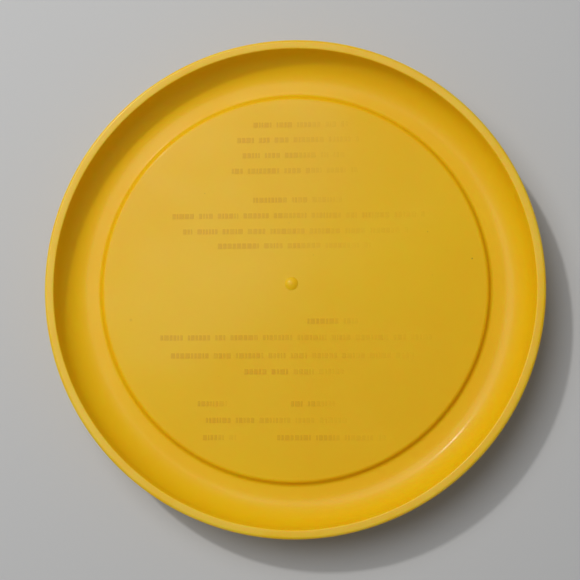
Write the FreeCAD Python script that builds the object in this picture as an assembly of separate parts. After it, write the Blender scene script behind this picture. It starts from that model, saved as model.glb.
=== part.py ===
"""Shallow feeding dish for a small child, with a suction base that twists off for washing.

The dish is one thin moulding: a raised round centre, a gutter with a wide sweep up to the
wall, and a beaded rim.  Under its raised centre a bayonet socket holds the suction base:
a stiff disc, a soft cup stretched over it, and a button that pins the two together.
The cup's thin lip lies on the table.  Pressing the dish down flattens the cup, and a tab
on the lip peels it off again.  The base turns counter-clockwise, seen from above, to unlock.

Millimetres, +Z up.  The origin is on the table under the middle of the dish, with the cup
standing free.  The release tab points along -Y.
"""

import math
import os

import FreeCAD
import Part

# ---- dish ------------------------------------------------------------------
rim_diameter = 180.0  # over the rim bead
dish_depth = 11.5  # rim top down to the gutter floor
wall = 2.0
wall_draft = 10.0  # degrees from upright
lip_width = 3.3  # flat top of the rim, wall and bead together
lip_fall = 0.4  # the rim's flat top falls this much towards its inner edge
bead_height = 3.0
bead_round = 1.4
lip_inner_round = 0.9
gutter_width = 15.4  # from the rim's inner edge in to the middle of the step
gutter_sweep = 10.4  # radius between gutter floor and wall
plateau_height = 2.0  # raised centre above the gutter floor
step_slope = 60.0  # degrees
step_round = 1.6
step_under_round = 1.0
gate_radius = 2.4  # moulding gate, a low dome on the raised centre
gate_height = 0.7
gate_offset = (-0.8, 1.2)
foot_ring_width = 1.8
foot_ring_step_gap = 1.1  # between the step's underside and the foot ring

# ---- bayonet between dish and base -------------------------------------------
socket_bore_radius = 26.0
socket_wall = 2.0
bayonet_count = 3
ledge_reach = 2.6  # ledges reach inwards from the socket's wall
ledge_thickness = 1.8
ledge_span = 52.0  # degrees
lug_thickness = 1.8
lug_span = 50.0  # degrees
stop_span = 3.5  # degrees
stop_gap = 1.5  # degrees between a locked lug and its stop
bayonet_gap = 0.1  # lug above ledge
running_gap = 0.4  # radial, neck and lugs inside the socket
head_gap = 0.1  # neck below the dish's underside, which rests on it

# ---- stiff disc -----------------------------------------------------------
disc_thickness = 2.0
disc_socket_gap = 2.5  # disc below the socket's mouth
neck_wall = 2.4
rib_count = 6
rib_thickness = 1.4
rib_height = 3.0
disc_rim_wall = 1.6
disc_rim_height = 3.4
crown_radius = 13.0  # centre of the disc, raised to sink the button
crown_rise = 1.4
crown_ramp = 1.6

# ---- soft cup ---------------------------------------------------------------
press_travel = 3.0  # how far the dish comes down as the cup flattens
table_gap = 0.2  # left under the pad when it is pressed flat
pad_thickness = 2.0
edge_wrap = 2.4  # soft edge around the disc
edge_hook = 1.8  # how far that edge hooks over the disc's top
hook_thickness = 1.2
skirt_run = 5.0
skirt_root_thickness = 1.2
skirt_tip_thickness = 0.9
lip_run = 5.5
lip_edge_thickness = 0.45
lip_sole_inset = 0.6
lip_rise = 0.25  # the lip's inner underside above the table
foot_ring_gap = 3.9  # cup's edge inside the foot ring
flex_gap = 0.05  # between the stretches of the cup that move apart

# ---- release tab -------------------------------------------------------------
tab_width = 22.0
tab_thickness = 1.0
tab_lift_off_table = 0.25
tab_rim_inset = 3.5  # tab's end inside the rim's outer edge
tab_corner = 7.0
tab_hinge_gap = 1.8  # hinge line outside the foot ring
tab_foot_clearance = 0.4  # tongue below the foot ring, cup pressed flat
tab_rib_count = 3
tab_rib_width = 1.2
tab_rib_length = 11.0
tab_rib_height = 0.5
tab_rib_pitch = 2.4
tab_split = 0.1

# ---- button ------------------------------------------------------------------
button_flange_thickness = 1.0
button_flange_gap = 0.6  # radial, in the cup's recess
button_flange_radius = 11.5
post_radius = 3.0
post_hole_gap = 0.3
barb_reach = 0.9
barb_height = 1.1
barb_gap = 0.1
post_bore_radius = 1.4
slot_width = 0.8

# ---- heights above the table ---------------------------------------------------
pad_bottom = press_travel + table_gap
pad_top = pad_bottom + pad_thickness
disc_top = pad_top + disc_thickness
ledge_bottom = disc_top + disc_socket_gap
ledge_top = ledge_bottom + ledge_thickness
lug_bottom = ledge_top + bayonet_gap
lug_top = lug_bottom + lug_thickness
plateau_under = lug_top + head_gap
plateau_top = plateau_under + wall
floor_top = plateau_top - plateau_height
floor_under = floor_top - wall
rim_top = floor_top + dish_depth
tab_top = tab_lift_off_table + tab_thickness
foot_ring_bottom = tab_top + press_travel + tab_foot_clearance

# ---- radii from the axis -------------------------------------------------------
rim_radius = rim_diameter / 2
lip_inner_radius = rim_radius - lip_width
plateau_radius = lip_inner_radius - gutter_width
step_run = plateau_height / math.tan(math.radians(step_slope))
step_top_radius = plateau_radius - step_run / 2
step_foot_radius = plateau_radius + step_run / 2
step_offset = wall * math.tan(math.radians(step_slope / 2))
foot_ring_inner = step_foot_radius - step_offset + foot_ring_step_gap
foot_ring_outer = foot_ring_inner + foot_ring_width
cup_radius = foot_ring_inner - foot_ring_gap
lip_start = cup_radius - lip_run
wrap_radius = lip_start - skirt_run
disc_radius = wrap_radius - edge_wrap
neck_radius = socket_bore_radius - ledge_reach - running_gap
lug_radius = socket_bore_radius - running_gap
tab_hinge_radius = foot_ring_outer + tab_hinge_gap
tab_end_radius = rim_radius - tab_rim_inset


def vec(r, z):
    """A point of a cross-section, in the plane of X and Z."""
    return FreeCAD.Vector(r, 0, z)


def rounded_wire(corners):
    """A closed outline through (r, z, radius) corners, each rounded by a tangent arc."""
    count = len(corners)
    ends = []
    for i, (r, z, radius) in enumerate(corners):
        here = vec(r, z)
        before = (vec(*corners[i - 1][:2]) - here).normalize()
        after = (vec(*corners[(i + 1) % count][:2]) - here).normalize()
        if radius <= 0:
            ends.append((here, None, here))
            continue
        half = before.getAngle(after) / 2
        reach = radius / math.tan(half)
        middle = (before + after).normalize() * (radius / math.sin(half) - radius)
        ends.append((here + before * reach, here + middle, here + after * reach))
    edges = []
    for i, (start, middle, end) in enumerate(ends):
        if middle is not None:
            edges.append(Part.Arc(start, middle, end).toShape())
        following = ends[(i + 1) % count][0]
        if (following - end).Length > 1e-6:
            edges.append(Part.LineSegment(end, following).toShape())
    return Part.Wire(edges)


def turned(corners, start=0.0, span=360.0):
    """The outline turned about Z, from angle start through span degrees."""
    axis = FreeCAD.Vector(0, 0, 1)
    face = Part.Face(rounded_wire(corners))
    face.rotate(FreeCAD.Vector(0, 0, 0), axis, start)
    return face.revolve(FreeCAD.Vector(0, 0, 0), axis, span)


def ring(inner, outer, bottom, top, start=0.0, span=360.0):
    """A plain ring, or a sector of one."""
    return turned([(inner, bottom, 0), (outer, bottom, 0), (outer, top, 0), (inner, top, 0)], start, span)


def fused(first, *others):
    """One solid from pieces that overlap."""
    return first.multiFuse(list(others)).removeSplitter()


def repeated(make, count):
    """make(angle) for each of count places evenly round the axis."""
    return [make(360.0 / count * i) for i in range(count)]


def make_dish():
    """The dish: thin shell, foot ring, bayonet socket and gate mark."""
    draft = math.tan(math.radians(wall_draft))
    wall_across = wall / math.cos(math.radians(wall_draft))
    bead_bottom = rim_top - bead_height
    gutter_corner = lip_inner_radius - dish_depth * draft

    def outer_wall(z):
        return gutter_corner + (z - floor_top) * draft + wall_across

    shell = turned([
        (0, plateau_top, 0),
        (step_top_radius, plateau_top, step_round),
        (step_foot_radius, floor_top, step_round),
        (gutter_corner, floor_top, gutter_sweep),
        (lip_inner_radius, rim_top - lip_fall, lip_inner_round),
        (rim_radius, rim_top, bead_round),
        (rim_radius, bead_bottom, bead_round / 2),
        (outer_wall(bead_bottom), bead_bottom, bead_round / 4),
        (outer_wall(floor_under), floor_under, gutter_sweep + wall),
        (step_foot_radius - step_offset, floor_under, step_under_round),
        (step_top_radius - step_offset, plateau_under, step_under_round),
        (0, plateau_under, 0),
    ])
    root = wall / 2
    foot_ring = turned([
        (foot_ring_inner, floor_under + root, 0),
        (foot_ring_inner, foot_ring_bottom, foot_ring_width / 4),
        (foot_ring_outer, foot_ring_bottom, foot_ring_width / 4),
        (foot_ring_outer, floor_under + root, 0),
    ])
    socket_outer = socket_bore_radius + socket_wall
    socket = ring(socket_bore_radius, socket_outer, ledge_bottom, plateau_under + root)

    def ledge(angle):
        return ring(socket_bore_radius - ledge_reach, socket_bore_radius + socket_wall / 2,
                    ledge_bottom, ledge_top, angle - ledge_span / 2, ledge_span)

    def stop(angle):
        start = angle - lug_span / 2 - stop_gap - stop_span
        return ring(socket_bore_radius - ledge_reach, socket_bore_radius + socket_wall / 2,
                    ledge_bottom, plateau_under + root, start, stop_span)

    dome_radius = (gate_radius ** 2 + gate_height ** 2) / (2 * gate_height)
    dome_middle = FreeCAD.Vector(*gate_offset, plateau_top + gate_height - dome_radius)
    dome_root = FreeCAD.Vector(*gate_offset, plateau_top - root)
    dome = Part.makeSphere(dome_radius, dome_middle)
    blank = Part.makeCylinder(gate_radius * 2, gate_height + root, dome_root)
    return fused(shell, foot_ring, socket, dome.common(blank),
                 *repeated(ledge, bayonet_count), *repeated(stop, bayonet_count))


def make_base_disc():
    """The stiff disc: raised crown, neck with three lugs, ribs and an upright rim."""
    rim_outer = disc_radius - edge_hook - running_gap
    rim_inner = rim_outer - disc_rim_wall
    crown_foot = crown_radius + crown_ramp
    disc = turned([
        (post_radius + post_hole_gap, pad_top + crown_rise, 0),
        (crown_radius, pad_top + crown_rise, 0),
        (crown_foot, pad_top, 0),
        (disc_radius, pad_top, disc_thickness / 4),
        (disc_radius, disc_top, disc_thickness / 4),
        (crown_foot + crown_rise, disc_top, 0),
        (crown_radius + crown_rise, disc_top + crown_rise, 0),
        (post_radius + post_hole_gap, disc_top + crown_rise, 0),
    ])
    root = disc_thickness / 2
    rim = ring(rim_inner, rim_outer, disc_top - root, disc_top + disc_rim_height)
    neck = ring(neck_radius - neck_wall, neck_radius, disc_top - root, lug_top)

    def lug(angle):
        return ring(neck_radius - neck_wall / 2, lug_radius, lug_bottom, lug_top,
                    angle - lug_span / 2, lug_span)

    def rib(angle):
        inner = socket_bore_radius + socket_wall + running_gap + rib_thickness
        blank = Part.makeBox(rim_inner + disc_rim_wall / 2 - inner, rib_thickness, rib_height + root,
                             FreeCAD.Vector(inner, -rib_thickness / 2, disc_top - root))
        blank.rotate(FreeCAD.Vector(0, 0, 0), FreeCAD.Vector(0, 0, 1), angle)
        return blank

    return fused(disc, rim, neck, *repeated(lug, bayonet_count), *repeated(rib, rib_count))


def make_suction_cup():
    """The cup's pad and the edge that wraps the disc."""
    recess = button_flange_radius + button_flange_gap
    crown_foot = crown_radius + crown_ramp
    hook_top = disc_top + hook_thickness
    return turned([
        (post_radius + post_hole_gap, pad_bottom + crown_rise, 0),
        (recess, pad_bottom + crown_rise, 0),
        (recess, pad_bottom, 0),
        (wrap_radius, pad_bottom, 0),
        (wrap_radius, hook_top, edge_wrap / 4),
        (disc_radius - edge_hook, hook_top, hook_thickness / 4),
        (disc_radius - edge_hook, disc_top, 0),
        (disc_radius + flex_gap, disc_top, 0),
        (disc_radius + flex_gap, pad_top, 0),
        (crown_foot, pad_top, 0),
        (crown_radius, pad_top + crown_rise, 0),
        (post_radius + post_hole_gap, pad_top + crown_rise, 0),
    ])


def make_cup_skirt():
    """The thin stretch of the cup that flexes."""
    return turned([
        (wrap_radius, pad_bottom, 0),
        (lip_start - flex_gap, lip_rise, 0),
        (lip_start - flex_gap, lip_rise + skirt_tip_thickness, 0),
        (wrap_radius, pad_bottom + skirt_root_thickness, 0),
    ])


def make_cup_lip():
    """The cup's sealing lip, with the tongue that runs out under the foot ring."""
    lip = turned([
        (lip_start, lip_rise, 0),
        (lip_start + lip_sole_inset, 0, 0),
        (cup_radius, 0, 0),
        (cup_radius, lip_edge_thickness, 0),
        (lip_start, lip_rise + skirt_tip_thickness, 0),
    ])
    overlap = lip_run / 3
    tongue = Part.makeBox(tab_width, tab_hinge_radius - cup_radius + overlap, tab_thickness,
                          FreeCAD.Vector(-tab_width / 2, -tab_hinge_radius, tab_lift_off_table))
    return fused(lip, tongue)


def make_release_tab():
    """The finger tab beyond the hinge line, with rounded corners and grip ribs."""
    root = -tab_hinge_radius - tab_split
    length = tab_end_radius - tab_hinge_radius - tab_split
    tab = Part.makeBox(tab_width, length, tab_thickness,
                       FreeCAD.Vector(-tab_width / 2, root - length, tab_lift_off_table))
    upright = [edge for edge in tab.Edges if abs(edge.BoundBox.ZLength - tab_thickness) < 1e-6]
    outer_corners = [edge for edge in upright if edge.BoundBox.YMax < root - length / 2]
    tab = tab.makeFillet(min(tab_corner, length * 0.8), outer_corners)
    ribs = []
    for i in range(tab_rib_count):
        y = root - length / 2 - (i - (tab_rib_count - 1) / 2) * tab_rib_pitch
        corner = FreeCAD.Vector(-tab_rib_length / 2, y - tab_rib_width / 2, tab_top - tab_thickness / 2)
        ribs.append(Part.makeBox(tab_rib_length, tab_rib_width, tab_rib_height + tab_thickness / 2, corner))
    return fused(tab, *ribs)


def make_cup_button():
    """The button that pins the cup under the disc: flange, hollow post and split barb."""
    flange_top = pad_bottom + button_flange_thickness
    barb_bottom = disc_top + crown_rise + barb_gap
    barb_top = barb_bottom + barb_height
    body = turned([
        (0, pad_bottom, 0),
        (button_flange_radius, pad_bottom, button_flange_thickness / 4),
        (button_flange_radius, flange_top, button_flange_thickness / 4),
        (post_radius, flange_top, 0),
        (post_radius, barb_bottom, 0),
        (post_radius + barb_reach, barb_bottom, 0),
        (post_radius, barb_top, 0),
        (post_bore_radius, barb_top, 0),
        (post_bore_radius, flange_top, 0),
        (0, flange_top, 0),
    ])
    reach = post_radius + barb_reach + 1
    cuts = []
    for angle in (0, 90):
        slot = Part.makeBox(2 * reach, slot_width, barb_top - flange_top,
                            FreeCAD.Vector(-reach, -slot_width / 2, flange_top + disc_thickness / 2))
        slot.rotate(FreeCAD.Vector(0, 0, 0), FreeCAD.Vector(0, 0, 1), angle)
        cuts.append(slot)
    return body.cut(cuts[0].fuse(cuts[1]))


parts = {
    "dish": make_dish,
    "base_disc": make_base_disc,
    "suction_cup": make_suction_cup,
    "cup_skirt": make_cup_skirt,
    "cup_lip": make_cup_lip,
    "release_tab": make_release_tab,
    "cup_button": make_cup_button,
}

os.makedirs("parts", exist_ok=True)
for name, make in parts.items():
    shape = make()
    shape.exportStep(f"parts/{name}.step")
    print(f"{name}: {len(shape.Solids)} solid, {shape.Volume / 1000:.2f} cm3, valid {shape.isValid()}")
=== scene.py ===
import math
import random

import bpy
from mathutils import Matrix, Vector


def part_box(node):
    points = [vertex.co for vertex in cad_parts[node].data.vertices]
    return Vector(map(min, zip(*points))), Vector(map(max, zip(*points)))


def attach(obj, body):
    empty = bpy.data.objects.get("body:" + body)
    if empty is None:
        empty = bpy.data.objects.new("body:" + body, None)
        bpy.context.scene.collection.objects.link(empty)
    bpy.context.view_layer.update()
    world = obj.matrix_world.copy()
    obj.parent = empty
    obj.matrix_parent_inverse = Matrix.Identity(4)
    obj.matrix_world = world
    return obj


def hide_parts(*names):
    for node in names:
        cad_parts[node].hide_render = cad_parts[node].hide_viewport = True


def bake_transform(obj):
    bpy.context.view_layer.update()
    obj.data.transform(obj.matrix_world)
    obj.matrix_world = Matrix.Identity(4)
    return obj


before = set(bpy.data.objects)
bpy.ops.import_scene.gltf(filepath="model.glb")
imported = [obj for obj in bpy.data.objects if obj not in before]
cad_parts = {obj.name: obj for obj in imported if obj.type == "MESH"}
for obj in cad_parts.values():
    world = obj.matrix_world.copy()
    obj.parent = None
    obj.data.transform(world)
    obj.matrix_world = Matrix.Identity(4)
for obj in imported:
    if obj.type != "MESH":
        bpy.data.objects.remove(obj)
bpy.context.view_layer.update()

# ---- Dish moulding ------------------------------------------------------------------
# The dish is one thin injection moulding in glossy yellow polypropylene: a raised round
# centre, a gutter that sweeps up to a steep wall, and a beaded rim.  The foot ring and
# the bayonet socket for the suction base are moulded under it in the same shot.

MM = 0.001

dish_low, dish_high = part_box("dish")
rim_radius = dish_high.x
foot_bottom = dish_low.z
gutter_above_foot = 8.85 * MM
floor_top = foot_bottom + gutter_above_foot

wall = 2.0 * MM
wall_draft = math.radians(10)
dish_depth = 11.5 * MM
plateau_rise = 2.0 * MM
step_slope = math.radians(60)
step_round = 1.6 * MM
sweep_round = 10.4 * MM
lip_width = 3.3 * MM
lip_fall = 0.4 * MM
lip_round = 0.5 * MM
bead_round = 1.4 * MM
bead_top_round = 1.0 * MM
bead_height = 3.0 * MM
gutter_width = 15.4 * MM
foot_ring_width = 1.8 * MM
foot_ring_step_gap = 1.1 * MM
foot_round = 0.7 * MM
step_foot_under_round = 0.3 * MM
step_top_under_round = 0.6 * MM
root_round = 0.5 * MM
bead_root_round = 0.2 * MM

rim_top = floor_top + dish_depth
floor_under = floor_top - wall
plateau_top = floor_top + plateau_rise
plateau_under = plateau_top - wall
lip_inner = rim_radius - lip_width
step_middle = lip_inner - gutter_width
step_run = plateau_rise / math.tan(step_slope)
step_top = step_middle - step_run / 2
step_foot = step_middle + step_run / 2
gutter_corner = lip_inner - dish_depth * math.tan(wall_draft)
step_offset = wall * math.tan(step_slope / 2)
foot_inner = step_foot - step_offset + foot_ring_step_gap
foot_outer = foot_inner + foot_ring_width

socket_bore = 26.0 * MM
socket_outer = socket_bore + 2.0 * MM
socket_depth = 3.8 * MM
socket_mouth = plateau_under - socket_depth
socket_round = 0.4 * MM
turning_steps = 256
merge_distance = 0.005 * MM


def outer_wall(z):
    """Radius of the dish's outside at height z, before its foot curves in."""
    return gutter_corner + (z - floor_top) * math.tan(wall_draft) + wall / math.cos(wall_draft)


def rounded(corners, arc_step=math.radians(7)):
    """(r, z) points along an outline, with each (r, z, radius) corner drawn as an arc."""
    points = []
    for i, (r, z, radius) in enumerate(corners):
        here = Vector((r, z))
        if radius == 0:
            points.append(here)
            continue
        before = (Vector(corners[i - 1][:2]) - here).normalized()
        after = (Vector(corners[(i + 1) % len(corners)][:2]) - here).normalized()
        half = before.angle(after) / 2
        centre = here + (before + after).normalized() * radius / math.sin(half)
        first = here + before * radius / math.tan(half) - centre
        turn = math.pi - 2 * half
        if before.cross(after) > 0:
            turn = -turn
        count = max(2, math.ceil(abs(turn) / arc_step))
        for k in range(count + 1):
            points.append(centre + Matrix.Rotation(turn * k / count, 2) @ first)
    return points


def deselect_all():
    """Nothing selected and nothing active: importing model.glb leaves its nodes selected."""
    bpy.ops.object.select_all(action="DESELECT")
    bpy.context.view_layer.objects.active = None


def select_only(piece):
    deselect_all()
    piece.select_set(True)
    bpy.context.view_layer.objects.active = piece


def spun(name, outline, steps=turning_steps):
    """A body of revolution: one vertex is drawn along the outline, then spun about Z."""
    deselect_all()
    bpy.ops.mesh.primitive_plane_add(size=MM)
    piece = bpy.context.object
    piece.name = piece.data.name = name
    bpy.ops.object.mode_set(mode="EDIT")
    bpy.ops.mesh.select_mode(type="VERT")
    bpy.ops.mesh.select_all(action="SELECT")
    bpy.ops.mesh.merge(type="CENTER")
    bpy.ops.transform.translate(value=(outline[0].x, 0, outline[0].y))
    for start, end in zip(outline, outline[1:]):
        stride = (end.x - start.x, 0, end.y - start.y)
        bpy.ops.mesh.extrude_vertices_move(TRANSFORM_OT_translate={"value": stride})
    bpy.ops.mesh.select_all(action="SELECT")
    bpy.ops.mesh.spin(steps=steps, angle=math.tau, center=(0, 0, 0), axis=(0, 0, 1))
    bpy.ops.mesh.select_all(action="SELECT")
    bpy.ops.mesh.remove_doubles(threshold=merge_distance)
    bpy.ops.mesh.normals_make_consistent(inside=False)
    bpy.ops.object.mode_set(mode="OBJECT")
    return piece


def apply_boolean(piece, other, operation):
    """Joins the other mesh into the piece, or cuts it out, and drops the other mesh."""
    select_only(piece)
    modifier = piece.modifiers.new(operation.lower(), "BOOLEAN")
    modifier.operation = operation
    modifier.solver = "MANIFOLD"
    modifier.object = other
    bpy.ops.object.modifier_apply(modifier=modifier.name)
    bpy.data.objects.remove(other)


dish = spun("dish_moulding", rounded([
    (0, plateau_top, 0),
    (step_top, plateau_top, step_round),
    (step_foot, floor_top, step_round),
    (gutter_corner, floor_top, sweep_round),
    (lip_inner, rim_top - lip_fall, lip_round),
    (rim_radius, rim_top, bead_top_round),
    (rim_radius, rim_top - bead_height, bead_round / 2),
    (outer_wall(rim_top - bead_height), rim_top - bead_height, bead_root_round),
    (outer_wall(floor_under), floor_under, sweep_round + wall),
    (foot_outer, floor_under, root_round),
    (foot_outer, foot_bottom, foot_round),
    (foot_inner, foot_bottom, foot_round),
    (foot_inner, floor_under, root_round),
    (step_foot - step_offset, floor_under, step_foot_under_round),
    (step_top - step_offset, plateau_under, step_top_under_round),
    (socket_outer, plateau_under, root_round),
    (socket_outer, socket_mouth, socket_round),
    (socket_bore, socket_mouth, socket_round),
    (socket_bore, plateau_under, root_round),
    (0, plateau_under, 0),
]))

# ---- Bayonet ledges and stops ---------------------------------------------------------
# Three ledges stand in from the socket's wall, and the base's lugs turn in above them.
# Beside each ledge a full-height stop ends the turn.  They are moulded with the dish.

bayonet_count = 3
ledge_reach = 2.6 * MM
ledge_thickness = 1.8 * MM
ledge_span = math.radians(52)
stop_span = math.radians(3.5)
stop_from_ledge = math.radians(0.5)
sector_step = math.radians(3)


def sector(inner, outer, bottom, top, start, span):
    """A slab of a ring: an upright rectangle spun through part of a turn, and closed."""
    deselect_all()
    bpy.ops.mesh.primitive_plane_add(size=1, rotation=(math.pi / 2, 0, 0))
    slab = bpy.context.object
    bpy.ops.object.transform_apply(rotation=True)
    bpy.ops.object.mode_set(mode="EDIT")
    bpy.ops.mesh.select_all(action="SELECT")
    bpy.ops.transform.resize(value=(outer - inner, 1, top - bottom))
    bpy.ops.transform.translate(value=((inner + outer) / 2, 0, (bottom + top) / 2))
    bpy.ops.mesh.spin(steps=max(2, round(span / sector_step)), angle=span,
                      center=(0, 0, 0), axis=(0, 0, 1))
    bpy.ops.mesh.select_all(action="SELECT")
    bpy.ops.mesh.remove_doubles(threshold=merge_distance)
    bpy.ops.mesh.normals_make_consistent(inside=False)
    bpy.ops.object.mode_set(mode="OBJECT")
    slab.data.transform(Matrix.Rotation(start, 4, "Z"))
    return slab


for i in range(bayonet_count):
    middle = math.tau * i / bayonet_count
    ledge_start = middle - ledge_span / 2
    in_wall = socket_bore + socket_round
    ledge = sector(socket_bore - ledge_reach, in_wall, socket_mouth, socket_mouth + ledge_thickness,
                   ledge_start, ledge_span)
    apply_boolean(dish, ledge, "UNION")
    stop = sector(socket_bore - ledge_reach, in_wall, socket_mouth, plateau_under + wall / 2,
                  ledge_start - stop_from_ledge - stop_span, stop_span)
    apply_boolean(dish, stop, "UNION")


# ---- Gate mark -------------------------------------------------------------------------
# Where the plastic entered the mould, a low round dome is left near the centre.

gate_place = (-0.8 * MM, 1.2 * MM)
gate_radius = 2.4 * MM
gate_height = 0.7 * MM
gate_ball = (gate_radius ** 2 + gate_height ** 2) / (2 * gate_height)

deselect_all()
bpy.ops.mesh.primitive_uv_sphere_add(segments=64, ring_count=64, radius=gate_ball,
                                     location=(*gate_place, plateau_top + gate_height - gate_ball))
gate = bpy.context.object
bpy.ops.object.transform_apply(location=True, rotation=True, scale=True)
bpy.ops.object.mode_set(mode="EDIT")
bpy.ops.mesh.select_all(action="SELECT")
bpy.ops.mesh.bisect(plane_co=(0, 0, plateau_top - wall / 4), plane_no=(0, 0, 1), clear_inner=True,
                    use_fill=True)
bpy.ops.mesh.select_all(action="SELECT")
bpy.ops.mesh.normals_make_consistent(inside=False)
bpy.ops.object.mode_set(mode="OBJECT")
apply_boolean(dish, gate, "UNION")

# ---- Low moulded dashes ------------------------------------------------------------------
# Rows of low unlettered dashes stand on the raised centre, where such a dish carries its
# washing advice.  They are cut in the mould, so they stand about a tenth of a millimetre
# high, and each row is lower towards its right end.  Rows are (y, left end, right end) in mm.

dash_height = 1.9 * MM
dash_relief = 0.14 * MM
dash_gap = 0.42 * MM
dash_shortest = 0.5 * MM
dash_longest = 1.7 * MM
dash_fade = 0.65
dash_edge = 0.03 * MM
word_gap = 1.5 * MM
rows = [
    (60.5, -15, 20), (54.8, -21, 24), (49.0, -19, 21), (43.2, -23, 24),
    (32.2, -15, 18), (26.4, -45, 48), (20.6, -41, 42), (15.2, -28, 28),
    (-12.6, 5, 24), (-18.6, -49, 50), (-25.2, -45, 44), (-31.0, -18, 18),
    (-42.6, -35, -24), (-42.6, -1, 15), (-48.6, -32, 19), (-54.8, -33, -21), (-54.8, -6, 33),
]

dice = random.Random(7)
deselect_all()
dash_pieces = []
for row_y, row_left, row_right in rows:
    x = row_left * MM
    in_word = dice.randint(3, 9)
    while x < row_right * MM - dash_shortest:
        length = min(dice.uniform(dash_shortest, dash_longest), row_right * MM - x)
        along = (x / MM - row_left) / (row_right - row_left)
        relief = dash_relief * (1 - dash_fade * along) * dice.uniform(0.75, 1.0)
        bpy.ops.mesh.primitive_cube_add(size=1, location=(x + length / 2, row_y * MM, plateau_top))
        dash = bpy.context.object
        dash.scale = (length, dash_height, 2 * relief)
        dash_pieces.append(dash)
        x += length + dash_gap
        in_word -= 1
        if in_word == 0:
            x += word_gap
            in_word = dice.randint(3, 9)
for dash in dash_pieces:
    dash.select_set(True)
bpy.ops.object.transform_apply(location=True, rotation=True, scale=True)
bpy.ops.object.join()
dashes = bpy.context.object
bpy.ops.object.mode_set(mode="EDIT")
bpy.ops.mesh.select_all(action="SELECT")
bpy.ops.mesh.bevel(offset=dash_edge, segments=1, affect="EDGES")
bpy.ops.object.mode_set(mode="OBJECT")
apply_boolean(dish, dashes, "UNION")



def smooth(piece, degrees):
    """Smooth shading wherever two faces meet at less than this angle."""
    select_only(piece)
    bpy.ops.object.shade_smooth_by_angle(angle=math.radians(degrees))


def give_material(piece, material):
    piece.data.materials.clear()
    piece.data.materials.append(material)


smooth(dish, 28)

dish_yellow = (0.87, 0.54, 0.003, 1)
flow_mark_yellow = (0.86, 0.51, 0.003, 1)
rubbed_and_sheen_yellow = (0.84, 0.68, 0.10, 1)
dash_yellow = (0.76, 0.42, 0.002, 1)
step_painted_shade_yellow = (0.62, 0.29, 0.002, 1)
speck_brown = (0.35, 0.16, 0.01, 1)
stain_brown = (0.30, 0.14, 0.01, 1)
stains = [(65, 10, 0.55, 0.75), (49, 20, 0.3, 0.5), (-60, -12, 0.8, 0.18), (-33, 35, 0.25, 0.4)]


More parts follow.
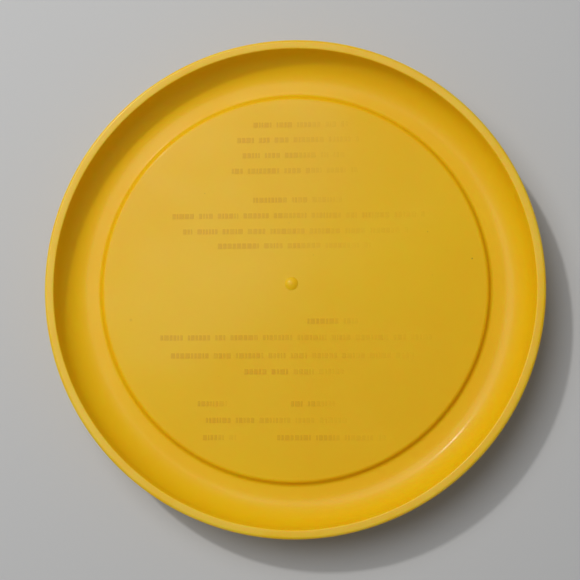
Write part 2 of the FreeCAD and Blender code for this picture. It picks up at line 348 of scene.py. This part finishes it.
def moulded_yellow():
    """Glossy yellow polypropylene that lets some light through its thin wall.

    It pales a little on the top of the rim, partly from wear and partly as a painted sheen
    standing in for its highlights, and has faint flow marks and a few dark specks and
    stains.  The low dashes read slightly darker than the surface beside them, and the step
    round the raised centre carries painted shade.  Stains are (x, y, size, strength), in mm."""
    material = bpy.data.materials.new("yellow_polypropylene")
    material.use_nodes = True
    nodes, links = material.node_tree.nodes, material.node_tree.links
    shader = nodes["Principled BSDF"]
    shader.inputs["Coat Weight"].default_value = 0.07
    shader.inputs["Coat Roughness"].default_value = 0.13
    shader.inputs["Specular IOR Level"].default_value = 0.22
    shader.inputs["Subsurface Weight"].default_value = 0.6
    shader.inputs["Subsurface Radius"].default_value = (1.0, 0.32, 0.05)
    shader.inputs["Subsurface Scale"].default_value = 0.002

    place = nodes.new("ShaderNodeTexCoord").outputs["Object"]
    split = nodes.new("ShaderNodeSeparateXYZ")
    links.new(place, split.inputs[0])

    def sum_of(operation, first, second=0.0, third=0.0):
        """The output of one math node, with numbers or other outputs going in."""
        node = nodes.new("ShaderNodeMath")
        node.operation = operation
        for socket, value in zip(node.inputs, (first, second, third)):
            if isinstance(value, (int, float)):
                socket.default_value = value
            else:
                links.new(value, socket)
        return node.outputs[0]

    def ramp(value, low, high):
        """0 below low, 1 above high, and an even rise between them."""
        node = nodes.new("ShaderNodeMapRange")
        node.interpolation_type = "SMOOTHSTEP"
        node.inputs["From Min"].default_value = low
        node.inputs["From Max"].default_value = high
        links.new(value, node.inputs["Value"])
        return node.outputs["Result"]

    def noise(scale, detail, roughness=0.5):
        node = nodes.new("ShaderNodeTexNoise")
        node.inputs["Scale"].default_value = scale
        node.inputs["Detail"].default_value = detail
        node.inputs["Roughness"].default_value = roughness
        links.new(place, node.inputs["Vector"])
        return node.outputs["Fac"]

    def tinted(colour, share, tint):
        """The colour mixed towards the tint by the share."""
        node = nodes.new("ShaderNodeMix")
        node.data_type = "RGBA"
        links.new(share, node.inputs["Factor"])
        if isinstance(colour, tuple):
            node.inputs["A"].default_value = colour
        else:
            links.new(colour, node.inputs["A"])
        node.inputs["B"].default_value = tint
        return node.outputs["Result"]

    colour = tinted(dish_yellow, ramp(noise(14, 2), 0.3, 0.7), flow_mark_yellow)

    radius = sum_of("SQRT", sum_of("ADD", sum_of("POWER", split.outputs["X"], 2),
                                   sum_of("POWER", split.outputs["Y"], 2)))
    # On the top of the rim the colour is paled in patches: partly wear, partly a painted sheen
    # standing in for the rim's highlights.
    on_rim = ramp(radius, lip_inner - 0.5 * MM, lip_inner + 0.4 * MM)
    at_top = ramp(split.outputs["Z"], rim_top - 1.1 * MM, rim_top - 0.4 * MM)
    rub_and_sheen_patches = ramp(noise(60, 4, 0.6), 0.3, 0.62)
    on_lip = sum_of("MULTIPLY", on_rim, at_top)
    wear_and_sheen = sum_of("MULTIPLY", on_lip, sum_of("MULTIPLY_ADD", rub_and_sheen_patches, 0.25, 0.05))
    colour = tinted(colour, wear_and_sheen, rubbed_and_sheen_yellow)

    above = ramp(split.outputs["Z"], plateau_top + 0.02 * MM, plateau_top + 0.12 * MM)
    past = ramp(split.outputs["Z"], plateau_top + 0.13 * MM, plateau_top + 0.2 * MM)
    at_height = sum_of("MULTIPLY", above, sum_of("SUBTRACT", 1, past))
    inside = sum_of("SUBTRACT", 1, ramp(radius, step_top - 1 * MM, step_top))
    off_gate = ramp(radius, 1.5 * gate_radius, 2 * gate_radius)
    inside = sum_of("MULTIPLY", inside, off_gate)
    on_dash = sum_of("MULTIPLY", at_height, sum_of("MULTIPLY", inside, 0.9))
    colour = tinted(colour, on_dash, dash_yellow)

    # Painted shade: the step round the raised centre is mixed towards a darker yellow, standing in
    # for the shade on its slope.
    beyond_step = ramp(radius, step_middle + 0.3 * MM, step_foot + 1.0 * MM)
    in_step = sum_of("MULTIPLY", ramp(radius, step_top - 0.9 * MM, step_middle),
                     sum_of("SUBTRACT", 1, beyond_step))
    colour = tinted(colour, sum_of("MULTIPLY", in_step, 0.3), step_painted_shade_yellow)

    specks = ramp(noise(900, 1), 0.80, 0.84)
    rare = ramp(noise(45, 1), 0.60, 0.66)
    speckled = sum_of("MULTIPLY", sum_of("MULTIPLY", specks, rare), 0.5)
    colour = tinted(colour, speckled, speck_brown)

    for x, y, size, strength in stains:
        spot = nodes.new("ShaderNodeVectorMath")
        spot.operation = "DISTANCE"
        links.new(place, spot.inputs[0])
        spot.inputs[1].default_value = (x * MM, y * MM, plateau_top)
        ragged = sum_of("MULTIPLY_ADD", noise(700, 2), size * MM, spot.outputs["Value"])
        share = sum_of("SUBTRACT", 1, ramp(ragged, size * 0.7 * MM, size * 1.5 * MM))
        colour = tinted(colour, sum_of("MULTIPLY", share, strength), stain_brown)
    links.new(colour, shader.inputs["Base Color"])

    dull = sum_of("MULTIPLY_ADD", ramp(noise(30, 5, 0.65), 0.3, 0.7), 0.12, 0.44)
    links.new(sum_of("MULTIPLY_ADD", on_lip, -0.15, dull), shader.inputs["Roughness"])

    bump = nodes.new("ShaderNodeBump")
    bump.inputs["Strength"].default_value = 0.25
    bump.inputs["Distance"].default_value = 0.04 * MM
    ripple = sum_of("MULTIPLY", noise(90, 2), 1.5)
    links.new(sum_of("ADD", noise(650, 2), ripple), bump.inputs["Height"])
    links.new(bump.outputs[0], shader.inputs["Normal"])
    links.new(bump.outputs[0], shader.inputs["Coat Normal"])
    return material


give_material(dish, moulded_yellow())
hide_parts("dish")
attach(dish, "dish")

# ---- Base disc -------------------------------------------------------------------------
# A stiff off-white moulding in polypropylene with a satin finish.  Its neck turns in the
# dish's bayonet, and the soft cup is stretched over its edge.


def satin_white():
    """Satin off-white polypropylene: a slight cream, faint mottling and a fine spark grain."""
    material = bpy.data.materials.new("satin_white_polypropylene")
    material.use_nodes = True
    nodes, links = material.node_tree.nodes, material.node_tree.links
    shader = nodes["Principled BSDF"]
    shader.inputs["Subsurface Weight"].default_value = 0.3
    shader.inputs["Subsurface Radius"].default_value = (1.0, 0.85, 0.7)
    shader.inputs["Subsurface Scale"].default_value = 0.001
    place = nodes.new("ShaderNodeTexCoord").outputs["Object"]
    mottle = nodes.new("ShaderNodeTexNoise")
    mottle.inputs["Scale"].default_value = 55
    mottle.inputs["Detail"].default_value = 3
    links.new(place, mottle.inputs["Vector"])
    shade = nodes.new("ShaderNodeMix")
    shade.data_type = "RGBA"
    shade.inputs["A"].default_value = (0.80, 0.78, 0.72, 1)
    shade.inputs["B"].default_value = (0.86, 0.84, 0.79, 1)
    links.new(mottle.outputs["Fac"], shade.inputs["Factor"])
    links.new(shade.outputs["Result"], shader.inputs["Base Color"])
    satin = nodes.new("ShaderNodeMapRange")
    satin.inputs["To Min"].default_value = 0.38
    satin.inputs["To Max"].default_value = 0.50
    links.new(mottle.outputs["Fac"], satin.inputs["Value"])
    links.new(satin.outputs["Result"], shader.inputs["Roughness"])
    grain = nodes.new("ShaderNodeTexNoise")
    grain.inputs["Scale"].default_value = 1500
    grain.inputs["Detail"].default_value = 1
    links.new(place, grain.inputs["Vector"])
    bump = nodes.new("ShaderNodeBump")
    bump.inputs["Strength"].default_value = 0.3
    bump.inputs["Distance"].default_value = 0.03 * MM
    links.new(grain.outputs["Fac"], bump.inputs["Height"])
    links.new(bump.outputs[0], shader.inputs["Normal"])
    return material


base_white = satin_white()
give_material(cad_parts["base_disc"], base_white)

# ---- Suction cup -------------------------------------------------------------------------
# One moulding in milky silicone.  Its pad lies under the base disc and hooks over the
# disc's edge, a thin skirt flexes as the dish is pressed down, and the lip seals on the
# table.

cup_low, cup_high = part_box("suction_cup")
skirt_low, skirt_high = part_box("cup_skirt")
lip_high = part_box("cup_lip")[1]
disc_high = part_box("base_disc")[1]
button_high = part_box("cup_button")[1]

pad_bottom = cup_low.z
hook_top = cup_high.z
wrap_radius = cup_high.x
flex_gap = 0.05 * MM
lip_start = skirt_high.x + flex_gap
lip_rise = skirt_low.z
cup_radius = lip_high.x
pad_thickness = 2.0 * MM
disc_thickness = 2.0 * MM
pad_top = pad_bottom + pad_thickness
disc_top = pad_top + disc_thickness
crown_rise = 1.4 * MM
crown_radius = 13.0 * MM
crown_foot = crown_radius + 1.6 * MM
disc_radius = disc_high.x
edge_hook = 1.8 * MM
hook_inner = disc_radius - edge_hook
post_hole = 3.3 * MM
recess_radius = button_high.x + 0.6 * MM
skirt_root = 1.2 * MM
skirt_tip = 0.9 * MM
lip_edge = 0.45 * MM
sole_inset = 0.6 * MM
grip_groove_depth = 0.35 * MM
grip_groove_width = 0.9 * MM
grip_grooves = (22 * MM, 32 * MM, 42 * MM)
skirt_rings = 14


def ease(t):
    """0 to 1 with a level start and end."""
    return t * t * (3 - 2 * t)


skirt_under, skirt_over = [], []
for i in range(1, skirt_rings):
    t = i / skirt_rings
    r = wrap_radius + t * (lip_start - wrap_radius)
    z = pad_bottom + ease(t) * (lip_rise - pad_bottom)
    skirt_under.append((r, z, 0))
    skirt_over.insert(0, (r, z + skirt_root + t * (skirt_tip - skirt_root), 0))

pad_under = []
for r in grip_grooves:
    pad_under += [
        (r - grip_groove_width / 2, pad_bottom, 0.15 * MM),
        (r - grip_groove_width / 3, pad_bottom + grip_groove_depth, 0.1 * MM),
        (r + grip_groove_width / 3, pad_bottom + grip_groove_depth, 0.1 * MM),
        (r + grip_groove_width / 2, pad_bottom, 0.15 * MM),
    ]

cup_outline = rounded([
    (post_hole, pad_bottom + crown_rise, 0.25 * MM),
    (recess_radius, pad_bottom + crown_rise, 0.3 * MM),
    (recess_radius, pad_bottom, 0.4 * MM),
    *pad_under,
    (wrap_radius - 1 * MM, pad_bottom, 0),
    *skirt_under,
    (lip_start, lip_rise, 0),
    (lip_start + sole_inset, 0, 0.25 * MM),
    (cup_radius, 0, 0.15 * MM),
    (cup_radius, lip_edge, 0.2 * MM),
    (lip_start, lip_rise + skirt_tip, 0),
    *skirt_over,
    (wrap_radius, pad_bottom + skirt_root, 0.5 * MM),
    (wrap_radius, hook_top, 0.6 * MM),
    (hook_inner, hook_top, 0.3 * MM),
    (hook_inner, disc_top, 0.15 * MM),
    (disc_radius + flex_gap, disc_top, 0.1 * MM),
    (disc_radius + flex_gap, pad_top, 0.1 * MM),
    (crown_foot, pad_top, 0),
    (crown_radius, pad_top + crown_rise, 0),
    (post_hole, pad_top + crown_rise, 0.25 * MM),
], arc_step=math.radians(15))
cup = spun("suction_cup_moulding", [*cup_outline, cup_outline[0]], steps=192)
smooth(cup, 35)


def milky_silicone():
    """Soft milky silicone: nearly matt, light goes well into it, and dust dulls it unevenly."""
    material = bpy.data.materials.new("milky_silicone")
    material.use_nodes = True
    nodes, links = material.node_tree.nodes, material.node_tree.links
    shader = nodes["Principled BSDF"]
    shader.inputs["Subsurface Weight"].default_value = 0.8
    shader.inputs["Subsurface Radius"].default_value = (1.0, 0.95, 0.9)
    shader.inputs["Subsurface Scale"].default_value = 0.002
    shader.inputs["Specular IOR Level"].default_value = 0.35
    place = nodes.new("ShaderNodeTexCoord").outputs["Object"]
    cloud = nodes.new("ShaderNodeTexNoise")
    cloud.inputs["Scale"].default_value = 40
    cloud.inputs["Detail"].default_value = 5
    cloud.inputs["Roughness"].default_value = 0.6
    links.new(place, cloud.inputs["Vector"])
    shade = nodes.new("ShaderNodeMix")
    shade.data_type = "RGBA"
    shade.inputs["A"].default_value = (0.64, 0.66, 0.66, 1)
    shade.inputs["B"].default_value = (0.76, 0.77, 0.76, 1)
    links.new(cloud.outputs["Fac"], shade.inputs["Factor"])
    links.new(shade.outputs["Result"], shader.inputs["Base Color"])
    dust = nodes.new("ShaderNodeMapRange")
    dust.inputs["From Min"].default_value = 0.3
    dust.inputs["From Max"].default_value = 0.7
    dust.inputs["To Min"].default_value = 0.36
    dust.inputs["To Max"].default_value = 0.58
    links.new(cloud.outputs["Fac"], dust.inputs["Value"])
    links.new(dust.outputs["Result"], shader.inputs["Roughness"])
    skin = nodes.new("ShaderNodeTexNoise")
    skin.inputs["Scale"].default_value = 1100
    skin.inputs["Detail"].default_value = 2
    links.new(place, skin.inputs["Vector"])
    bump = nodes.new("ShaderNodeBump")
    bump.inputs["Strength"].default_value = 0.35
    bump.inputs["Distance"].default_value = 0.03 * MM
    links.new(skin.outputs["Fac"], bump.inputs["Height"])
    links.new(bump.outputs[0], shader.inputs["Normal"])
    return material


silicone = milky_silicone()
give_material(cup, silicone)
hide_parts("suction_cup", "cup_skirt", "cup_lip")
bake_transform(cup)

# ---- Release tab ---------------------------------------------------------------------------
# A tongue of the same silicone runs out from the lip, under the foot ring, to a finger tab
# below the dish's rim.  It bends up just outside the foot ring to break the seal.

tab_low, tab_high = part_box("release_tab")
tab_width = tab_high.x - tab_low.x
tab_end = tab_low.y
tab_under = lip_rise
tab_thickness = 1.0 * MM
tab_hinge = tab_high.y
tab_corner = 7.0 * MM
tongue_root = -(cup_radius - 3.2 * MM)
flare_start = -(cup_radius + 3.0 * MM)
flare_width = tab_width + 9 * MM
flare_round = 2.8 * MM
tab_edge_round = 0.28 * MM
bend_length = 5.0 * MM
bend_lines = 10
rib_length = 11.0 * MM
rib_width = 1.2 * MM
rib_pitch = 2.4 * MM
rib_height = 0.5 * MM
rib_round = 0.35 * MM

deselect_all()
bpy.ops.mesh.primitive_plane_add(size=1)
tab = bpy.context.object
tab.name = tab.data.name = "release_tongue"
bpy.ops.object.mode_set(mode="EDIT")
bpy.ops.mesh.select_all(action="SELECT")
bpy.ops.transform.resize(value=(tab_width, tongue_root - tab_end, 1))
bpy.ops.transform.translate(value=(0, (tongue_root + tab_end) / 2, tab_under))


def pick_vertices(piece, keep):
    """In edit mode, selects just the vertices that keep() says, by their place."""
    bpy.ops.mesh.select_all(action="DESELECT")
    bpy.ops.object.mode_set(mode="OBJECT")
    for vertex in piece.data.vertices:
        vertex.select = keep(vertex.co)
    bpy.ops.object.mode_set(mode="EDIT")


def cross_cut(y):
    bpy.ops.mesh.select_all(action="SELECT")
    bpy.ops.mesh.bisect(plane_co=(0, y, 0), plane_no=(0, 1, 0))


bpy.ops.mesh.select_mode(type="VERT")
pick_vertices(tab, lambda place: place.y < tab_end + MM)
bpy.ops.mesh.bevel(offset=tab_corner, segments=12, affect="VERTICES")
cross_cut(flare_start)
pick_vertices(tab, lambda place: place.y > tongue_root - MM)
bpy.ops.transform.resize(value=(flare_width / tab_width, 1, 1))
pick_vertices(tab, lambda place: abs(place.y - flare_start) < 0.01 * MM)
bpy.ops.mesh.bevel(offset=flare_round, segments=8, affect="VERTICES")
for i in range(bend_lines + 1):
    cross_cut(tab_hinge + bend_length * (i / bend_lines - 0.5))
bpy.ops.mesh.select_all(action="SELECT")
bpy.ops.mesh.remove_doubles(threshold=merge_distance)
bpy.ops.mesh.normals_make_consistent(inside=False)
bpy.ops.object.mode_set(mode="OBJECT")

select_only(tab)
for kind, settings in (
    ("SOLIDIFY", {"thickness": tab_thickness, "offset": 1}),
    ("BEVEL", {"width": tab_edge_round, "segments": 3, "limit_method": "ANGLE",
               "angle_limit": math.radians(40)}),
):
    modifier = tab.modifiers.new(kind.lower(), kind)
    for setting, value in settings.items():
        setattr(modifier, setting, value)
    bpy.ops.object.modifier_apply(modifier=modifier.name)

tab_top = tab_under + tab_thickness
for i in (-1, 0, 1):
    deselect_all()
    bpy.ops.mesh.primitive_cube_add(size=1)
    rib = bpy.context.object
    bpy.ops.object.mode_set(mode="EDIT")
    bpy.ops.mesh.select_all(action="SELECT")
    bpy.ops.transform.resize(value=(rib_length, rib_width, 2 * rib_height))
    bpy.ops.transform.translate(value=(0, (tab_hinge + tab_end) / 2 + i * rib_pitch, tab_top))
    bpy.ops.mesh.bevel(offset=rib_round, segments=3, affect="EDGES")
    bpy.ops.object.mode_set(mode="OBJECT")
    apply_boolean(tab, rib, "UNION")

smooth(tab, 35)
give_material(tab, silicone)
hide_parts("release_tab")
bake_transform(tab)

# ---- Cup button ------------------------------------------------------------------------------
# A push-in plug of the same off-white plastic as the base disc.  Its split barb snaps
# through the disc's middle, and its dished flange holds the cup's pad up.

flange_radius = button_high.x
flange_thickness = 1.0 * MM
post_radius = 3.0 * MM
barb_reach = 0.9 * MM
barb_top = button_high.z
barb_bottom = barb_top - 1.1 * MM
post_bore = 1.4 * MM
dish_in_face = 0.35 * MM
slot_width = 0.8 * MM
slot_length = 10 * MM
slot_height = 8 * MM

button_outline = rounded([
    (0, pad_bottom + dish_in_face, 0),
    (0.62 * flange_radius, pad_bottom + dish_in_face, 2.0 * MM),
    (0.86 * flange_radius, pad_bottom, 0.8 * MM),
    (flange_radius, pad_bottom, 0.3 * MM),
    (flange_radius, pad_bottom + flange_thickness, 0.3 * MM),
    (post_radius, pad_bottom + flange_thickness, 0.2 * MM),
    (post_radius, barb_bottom, 0.1 * MM),
    (post_radius + barb_reach, barb_bottom, 0.15 * MM),
    (post_radius, barb_top, 0.2 * MM),
    (post_bore, barb_top, 0.1 * MM),
    (post_bore, pad_bottom + flange_thickness, 0.2 * MM),
    (0, pad_bottom + flange_thickness, 0),
], arc_step=math.radians(15))
button = spun("cup_button_plug", button_outline, steps=96)
slot_bottom = pad_bottom + flange_thickness + 1.0 * MM
for size in ((slot_length, slot_width), (slot_width, slot_length)):
    deselect_all()
    bpy.ops.mesh.primitive_cube_add(size=1)
    cutter = bpy.context.object
    bpy.ops.object.mode_set(mode="EDIT")
    bpy.ops.mesh.select_all(action="SELECT")
    bpy.ops.transform.resize(value=(*size, slot_height))
    bpy.ops.transform.translate(value=(0, 0, slot_bottom + slot_height / 2))
    bpy.ops.object.mode_set(mode="OBJECT")
    apply_boolean(button, cutter, "DIFFERENCE")
smooth(button, 30)
give_material(button, base_white)
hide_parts("cup_button")
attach(button, "base")

# ---- Table, lights and camera --------------------------------------------------------
# A plain pale matt table, a room that is brighter near the horizon than overhead, a wide
# window and a small lamp on the same side, and a camera that looks almost straight down.

table_size = 40

deselect_all()
bpy.ops.mesh.primitive_plane_add(size=table_size)
table = bpy.context.object
table.name = "table"
pale_matt = bpy.data.materials.new("pale_floor")
pale_matt.use_nodes = True
pale_shader = pale_matt.node_tree.nodes["Principled BSDF"]
pale_shader.inputs["Base Color"].default_value = (0.575, 0.575, 0.575, 1)
pale_shader.inputs["Roughness"].default_value = 0.8
give_material(table, pale_matt)

world = bpy.data.worlds.new("room")
world.use_nodes = True
bpy.context.scene.world = world
nodes, links = world.node_tree.nodes, world.node_tree.links
nodes["Background"].inputs["Color"].default_value = (0.97, 0.99, 1.0, 1)
way_up = nodes.new("ShaderNodeSeparateXYZ")
links.new(nodes.new("ShaderNodeTexCoord").outputs["Generated"], way_up.inputs[0])
pale_horizon = nodes.new("ShaderNodeMapRange")
pale_horizon.interpolation_type = "SMOOTHSTEP"
for socket, value in (("From Min", 0.02), ("From Max", 0.4), ("To Min", 0.42), ("To Max", 0.14)):
    pale_horizon.inputs[socket].default_value = value
links.new(way_up.outputs["Z"], pale_horizon.inputs["Value"])
links.new(pale_horizon.outputs["Result"], nodes["Background"].inputs["Strength"])


def add_light(name, size, energy, colour, azimuth, zenith, distance):
    """A round light that faces the dish's middle; azimuth and zenith are in degrees."""
    azimuth, zenith = math.radians(azimuth), math.radians(zenith)
    way = Vector((math.cos(azimuth) * math.sin(zenith), math.sin(azimuth) * math.sin(zenith),
                  math.cos(zenith)))
    bpy.ops.object.light_add(type="AREA", location=way * distance)
    light = bpy.context.object
    light.name = light.data.name = name
    light.data.shape = "DISK"
    light.data.size = size
    light.data.energy = energy
    light.data.color = colour
    light.rotation_mode = "QUATERNION"
    light.rotation_quaternion = (-way).to_track_quat("-Z", "Y")


add_light("window", size=0.58, energy=3.8, colour=(0.98, 0.99, 1.0),
          azimuth=135, zenith=24, distance=0.9)
add_light("lamp", size=0.06, energy=4.6, colour=(1.0, 0.985, 0.96),
          azimuth=132, zenith=35, distance=1.3)

camera_distance = 0.40
camera_tilt = math.radians(6.5)
camera_azimuth = math.radians(-60)
focal_length_in_frames = 1.929
sensor_width = 36
target = Vector((-0.0008, -0.0021, rim_top))
camera_way = Vector((math.cos(camera_azimuth) * math.sin(camera_tilt),
                     math.sin(camera_azimuth) * math.sin(camera_tilt), math.cos(camera_tilt)))
forward = -camera_way
camera_right = forward.cross(Vector((0, 1, 0))).normalized()
camera_up = camera_right.cross(forward)
bpy.ops.object.camera_add()
camera = bpy.context.object
camera.data.sensor_width = sensor_width
camera.data.lens = sensor_width * focal_length_in_frames
turn = Matrix((camera_right, camera_up, -forward)).transposed().to_4x4()
camera.matrix_world = Matrix.Translation(target + camera_way * camera_distance) @ turn
bpy.context.scene.camera = camera
bpy.context.scene.view_settings.view_transform = "Standard"
